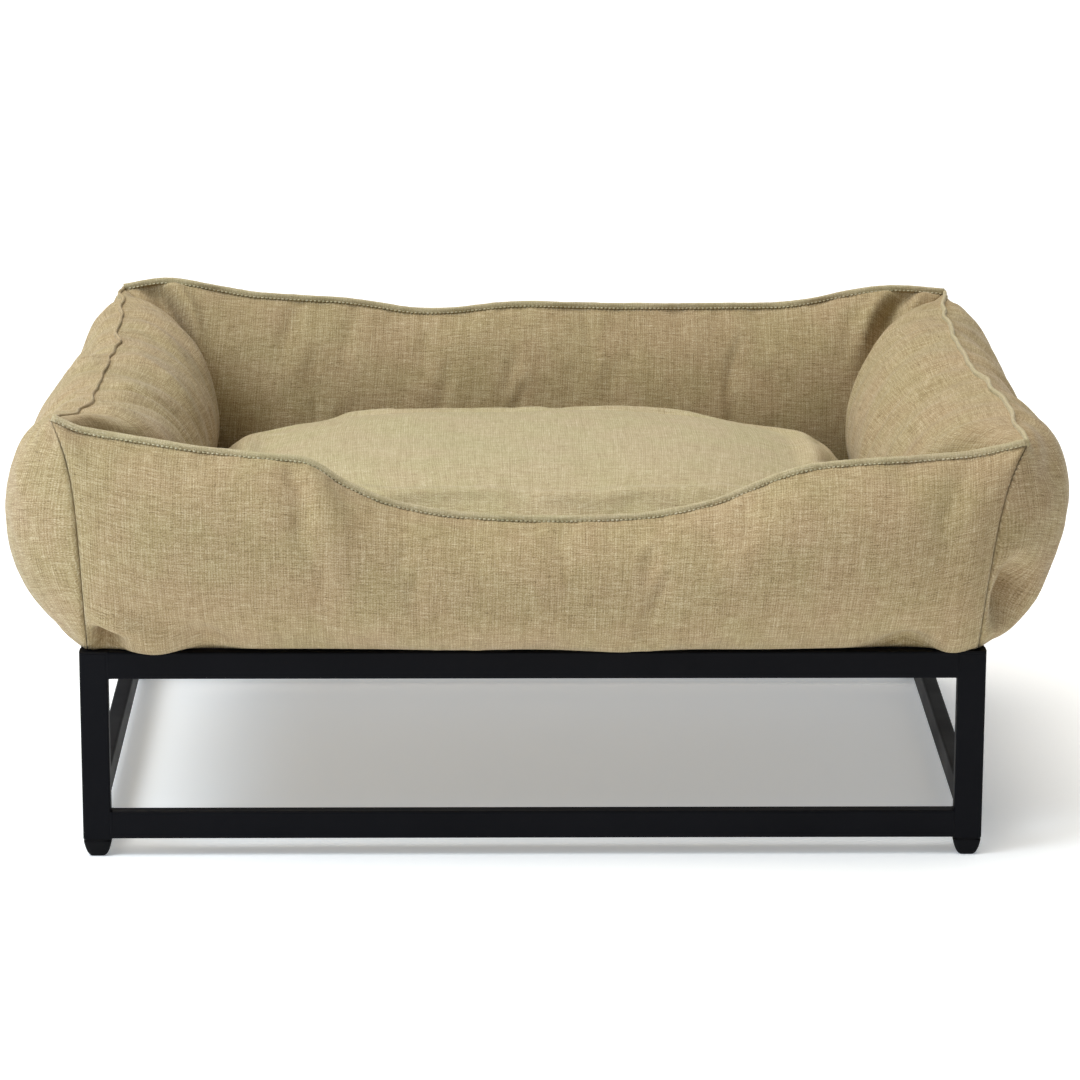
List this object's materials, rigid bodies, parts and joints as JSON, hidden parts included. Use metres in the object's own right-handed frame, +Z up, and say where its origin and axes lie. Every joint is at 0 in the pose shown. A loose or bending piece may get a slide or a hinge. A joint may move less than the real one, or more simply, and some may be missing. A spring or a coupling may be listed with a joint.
{
  "type": "raised dog bed",
  "caption": "Raised dog bed: a bolster bed in sand linen-look cloth with a dipped front wall and a loose cushion, on a black rectangular tube frame.",
  "frame": {"origin": "on the floor, under the middle of the bed", "axes": "+Z up; +X along the bed's length, to the right when facing the dipped front wall; -Y is the front"},
  "size_m": [0.9596, 0.6656, 0.4033],
  "materials": {
    "powder_coated_steel": "satin",
    "black_plastic": "matte",
    "sand_linen": "matte",
    "fibre_filling": "matte",
    "base_foam": "matte",
    "zip_tape": "matte",
    "zip_metal": "satin"
  },
  "bodies": {
    "frame": {"corner_post_front_left": "powder_coated_steel", "corner_post_front_right": "powder_coated_steel", "corner_post_rear_left": "powder_coated_steel", "corner_post_rear_right": "powder_coated_steel", "foot_glide_front_left": "black_plastic", "foot_glide_front_right": "black_plastic", "foot_glide_rear_left": "black_plastic", "foot_glide_rear_right": "black_plastic", "post_plug_front_left": "black_plastic", "post_plug_front_right": "black_plastic", "post_plug_rear_left": "black_plastic", "post_plug_rear_right": "black_plastic", "front_top_rail": "powder_coated_steel", "rear_top_rail": "powder_coated_steel", "left_top_rail": "powder_coated_steel", "right_top_rail": "powder_coated_steel", "front_bottom_rail": "powder_coated_steel", "rear_bottom_rail": "powder_coated_steel", "left_bottom_rail": "powder_coated_steel", "right_bottom_rail": "powder_coated_steel", "cross_slat_1": "powder_coated_steel", "cross_slat_2": "powder_coated_steel", "cross_slat_3": "powder_coated_steel", "cross_slat_4": "powder_coated_steel", "cross_slat_5": "powder_coated_steel"},
    "bed": {"front_bolster_cover": "sand_linen", "front_bolster_fill": "fibre_filling", "rim_piping_front": "sand_linen", "right_bolster_cover": "sand_linen", "right_bolster_fill": "fibre_filling", "rim_piping_right": "sand_linen", "rear_bolster_cover": "sand_linen", "rear_bolster_fill": "fibre_filling", "rim_piping_rear": "sand_linen", "left_bolster_cover": "sand_linen", "left_bolster_fill": "fibre_filling", "rim_piping_left": "sand_linen", "base_cover": "sand_linen", "base_pad": "base_foam"},
    "cushion": {"cushion_cover": "sand_linen", "cushion_pillow": "fibre_filling", "cushion_zip_tape": "zip_tape"},
    "zip_slider": {"zip_slider": "zip_metal", "zip_pull": "zip_metal"}
  },
  "joints": [
    {"name": "bed_lift", "type": "slide", "parent": "frame", "child": "bed", "axis": [0, 0, 1], "range_m": [0, 0.25]},
    {"name": "cushion_lift", "type": "slide", "parent": "bed", "child": "cushion", "axis": [0, 0, 1], "range_m": [0, 0.25]},
    {"name": "cushion_zip", "type": "slide", "parent": "cushion", "child": "zip_slider", "axis": [1, 0, 0], "range_m": [0, 0.36]}
  ]
}
